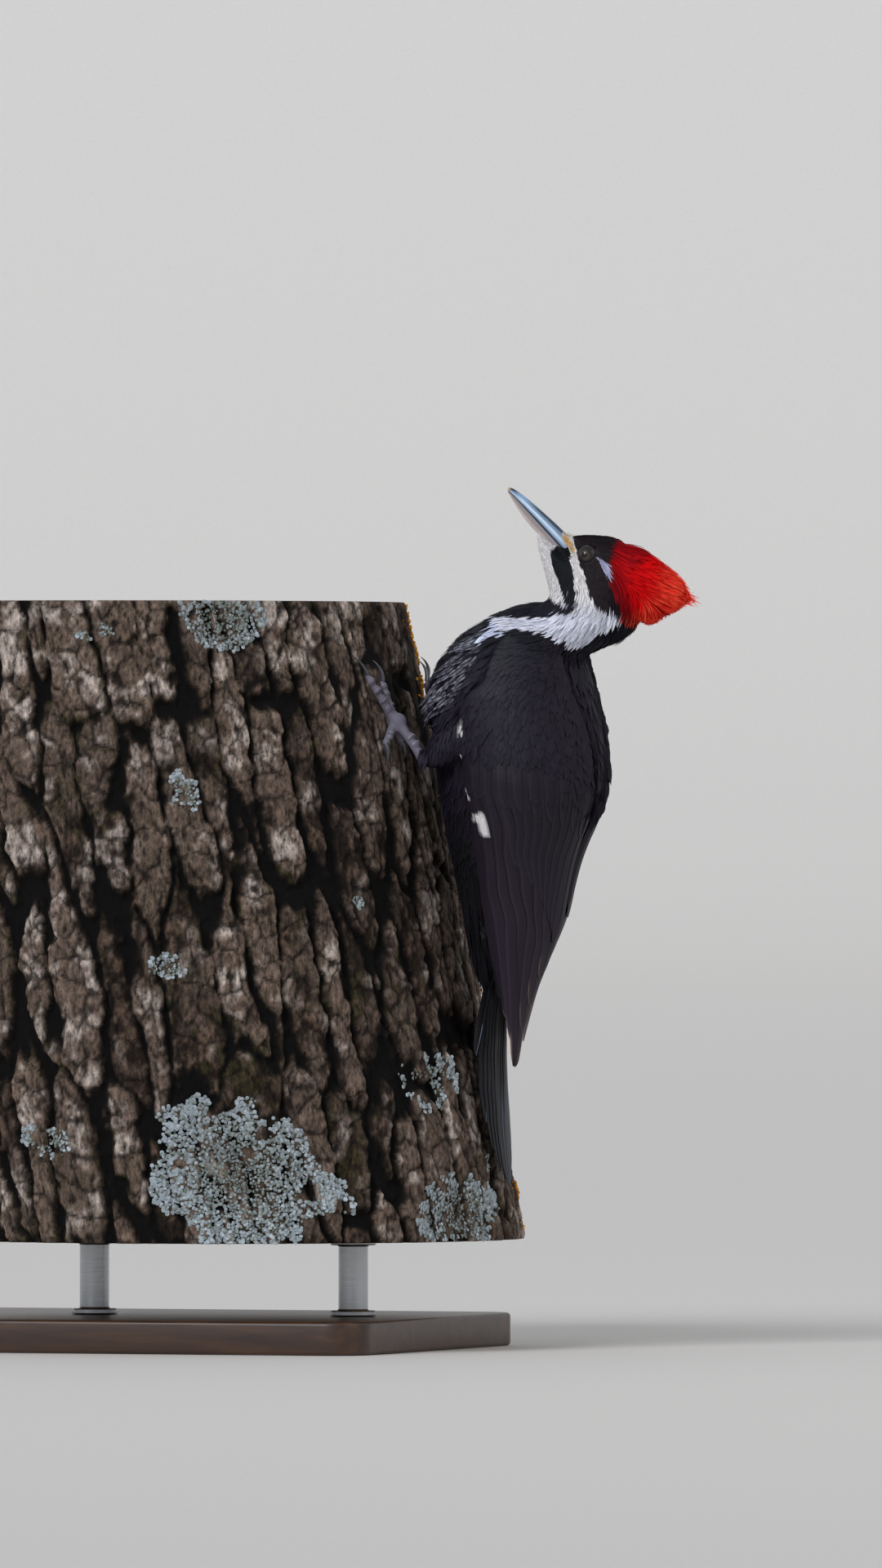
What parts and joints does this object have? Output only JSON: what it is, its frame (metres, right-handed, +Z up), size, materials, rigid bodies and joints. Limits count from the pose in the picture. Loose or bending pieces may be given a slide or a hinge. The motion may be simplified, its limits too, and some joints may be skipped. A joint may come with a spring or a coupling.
{
  "type": "pileated woodpecker",
  "caption": "Life-size still model of a female pileated woodpecker clinging to a cut length of trunk, head thrown back, on a plain display stand.",
  "frame": {"origin": "centre of the underside of the stand's base", "axes": "+Z up; the XZ plane is the bird's mid-plane, the bird's back faces +X, its belly faces the trunk at -X, its left side faces -Y"},
  "size_m": [0.5046, 0.3242, 0.4667],
  "materials": {
    "plumage_black": "brownish black feathers with a soft sheen",
    "plumage_white": "white to pale lavender feathers on cheek, throat and neck, with black nape and malar stripe",
    "plumage_red": "bright red crest feathers with paler hair-like tips",
    "bill_horn": "blue-grey horn above, pale horn below and at the tip",
    "claw_horn": "dark grey horn",
    "eye": "amber iris round a black pupil under a clear gloss",
    "foot_scales": "grey-lavender scales with pale edges",
    "bark": "furrowed grey-brown bark with grey-green and yellow lichen, pale cut ends",
    "stand_wood": "dark stained oak, satin",
    "stand_steel": "brushed"
  },
  "bodies": {
    "root": {"stand_base": "stand_wood", "stand_rod_near_bird": "stand_steel", "stand_rod_far_from_bird": "stand_steel", "perch_log": "bark", "bill_upper": "bill_horn", "bill_lower": "bill_horn", "eye_left": "eye", "eye_right": "eye", "crest": "plumage_red", "neck": "plumage_white", "head": "plumage_black", "back": "plumage_black", "belly": "plumage_black", "breast": "plumage_black", "rump": "plumage_black", "tail": "plumage_black", "thigh_left": "plumage_black", "thigh_right": "plumage_black", "wing_left_coverts": "plumage_black", "wing_left_secondaries": "plumage_black", "wing_left_primaries": "plumage_black", "foot_left": "foot_scales", "tarsus_left": "foot_scales", "toe_left_1": "foot_scales", "claw_left_1": "claw_horn", "toe_left_2": "foot_scales", "claw_left_2": "claw_horn", "toe_left_3": "foot_scales", "claw_left_3": "claw_horn", "toe_left_4": "foot_scales", "claw_left_4": "claw_horn", "wing_right_coverts": "plumage_black", "wing_right_secondaries": "plumage_black", "wing_right_primaries": "plumage_black", "foot_right": "foot_scales", "tarsus_right": "foot_scales", "toe_right_1": "foot_scales", "claw_right_1": "claw_horn", "toe_right_2": "foot_scales", "claw_right_2": "claw_horn", "toe_right_3": "foot_scales", "claw_right_3": "claw_horn", "toe_right_4": "foot_scales", "claw_right_4": "claw_horn"}
  },
  "joints": []
}
